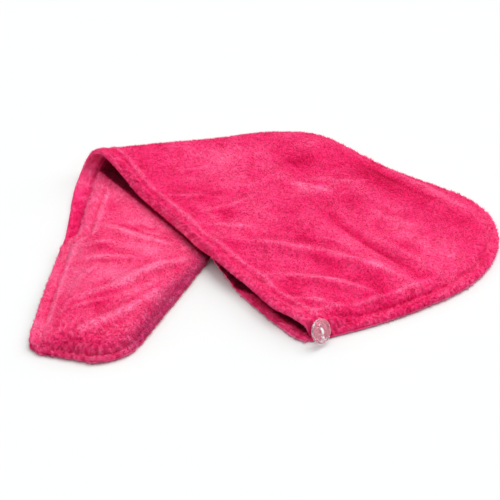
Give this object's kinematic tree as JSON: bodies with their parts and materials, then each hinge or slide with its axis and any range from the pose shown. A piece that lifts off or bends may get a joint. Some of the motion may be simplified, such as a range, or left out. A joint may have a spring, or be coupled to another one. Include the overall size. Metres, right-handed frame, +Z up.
{
  "type": "hair towel",
  "caption": "Plush fleece hair towel with a round cap, an open hem and a narrowing tail, lying folded so that the tail is underneath, with a clear sewn button at the nape corner.",
  "frame": {"origin": "on the surface it lies on, below the middle of the towel's box", "axes": "+X to the right of the picture, +Y away from the viewer, towards the fold, +Z up"},
  "size_m": [0.3904, 0.3482, 0.0299],
  "materials": {
    "left_panel": "plush coral fleece, long soft pile",
    "right_panel": "plush coral fleece, long soft pile",
    "button": "clear, polished",
    "button_thread": "twisted white thread"
  },
  "bodies": {
    "root": {"left_panel": "left_panel", "right_panel": "right_panel", "button": "button", "button_thread": "button_thread"}
  },
  "joints": []
}
